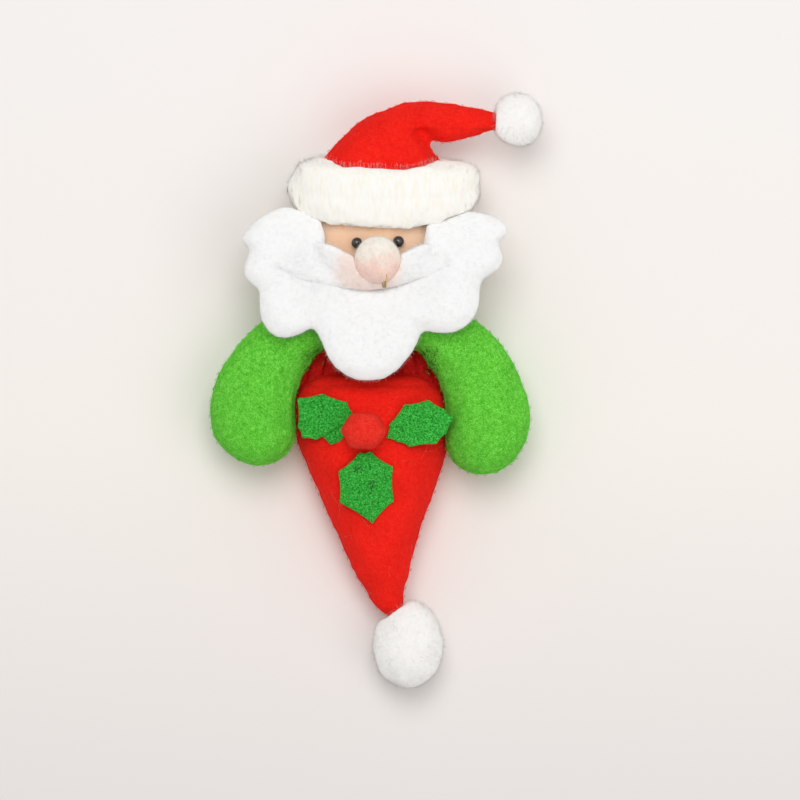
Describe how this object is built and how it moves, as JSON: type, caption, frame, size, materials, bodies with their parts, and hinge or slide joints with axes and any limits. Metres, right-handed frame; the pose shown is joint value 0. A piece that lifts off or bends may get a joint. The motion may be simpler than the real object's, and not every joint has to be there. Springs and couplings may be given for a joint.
{
  "type": "stuffed christmas ornament",
  "caption": "Stuffed felt and plush Christmas figure lying on its back, with a bearded head, folded hat, soft arms and a cone body with a pompom.",
  "frame": {"origin": "middle of the flat patch under the body, on the surface that the figure lies on", "axes": "+Z out of the face, +Y towards the head, +X to the right of the picture"},
  "size_m": [0.1114, 0.1989, 0.0478],
  "materials": {
    "red_felt": "matt wool-like felt, slightly fuzzy",
    "dark_red_felt": "matt felt in the shade of the beard, pleated",
    "lime_felt": "matt felt with short fuzz",
    "leaf_felt": "stiff pressed felt, mottled light and dark",
    "berry_felt": "rolled felt ball",
    "skin_knit": "fine flesh-coloured knit",
    "nose_felt": "fuzzy felted ball, pinker below",
    "flocked_foam": "white flocked foam with a short velvet pile",
    "fur": "cream long-pile fur",
    "pompom": "white fluffy yarn pompom",
    "filling": "loose polyester wadding",
    "bead": "polished black bead",
    "gold_thread": "gold metallic thread"
  },
  "bodies": {
    "body": {"body_front_panel": "red_felt", "body_back_panel": "red_felt", "body_filling": "filling", "left_leaf": "leaf_felt", "small_leaf": "leaf_felt", "right_leaf": "leaf_felt", "lower_leaf": "leaf_felt", "berry": "berry_felt"},
    "head": {"collar": "dark_red_felt", "head_cover": "skin_knit", "head_filling": "filling", "left_eye": "bead", "right_eye": "bead", "nose": "nose_felt", "nose_thread": "gold_thread", "beard": "flocked_foam", "moustache": "flocked_foam", "hat_front_panel": "red_felt", "hat_back_panel": "red_felt", "hat_filling": "filling", "fur_band": "fur"},
    "left_arm": {"left_arm_front_panel": "lime_felt", "left_arm_back_panel": "lime_felt", "left_arm_filling": "filling"},
    "right_arm": {"right_arm_front_panel": "lime_felt", "right_arm_back_panel": "lime_felt", "right_arm_filling": "filling"},
    "hat_tail": {"hat_tail_front_panel": "red_felt", "hat_tail_back_panel": "red_felt", "hat_tail_filling": "filling"},
    "hat_pompom": {"hat_pompom": "pompom"},
    "body_pompom": {"body_pompom": "pompom"}
  },
  "joints": [
    {"name": "neck_fold", "type": "hinge", "parent": "body", "child": "head", "pos_m": [0, 0.01865, 0.008], "axis": [-1, 0, 0], "range_deg": [0, 10], "stiffness_Nm_per_rad": 0.05},
    {"name": "left_shoulder", "type": "hinge", "parent": "head", "child": "left_arm", "pos_m": [-0.0093, 0.036, 0.018], "axis": [0, 0, -1], "range_deg": [0, 30], "stiffness_Nm_per_rad": 0.01},
    {"name": "right_shoulder", "type": "hinge", "parent": "head", "child": "right_arm", "pos_m": [0.0093, 0.036, 0.018], "axis": [0, 0, 1], "range_deg": [0, 30], "stiffness_Nm_per_rad": 0.01},
    {"name": "hat_fold", "type": "hinge", "parent": "head", "child": "hat_tail", "pos_m": [0.01814, 0.10415, 0.0202], "axis": [0, 0, 1], "range_deg": [-10, 30], "stiffness_Nm_per_rad": 0.01},
    {"name": "hat_pompom_lean", "type": "hinge", "parent": "hat_tail", "child": "hat_pompom", "pos_m": [0.04144, 0.10359, 0.0202], "axis": [0, 0, 1], "range_deg": [-12, 12], "stiffness_Nm_per_rad": 0.002},
    {"name": "body_pompom_lean", "type": "hinge", "parent": "body", "child": "body_pompom", "pos_m": [0.00665, -0.0587, 0.011], "axis": [0, 0, 1], "range_deg": [-12, 12], "stiffness_Nm_per_rad": 0.005}
  ]
}
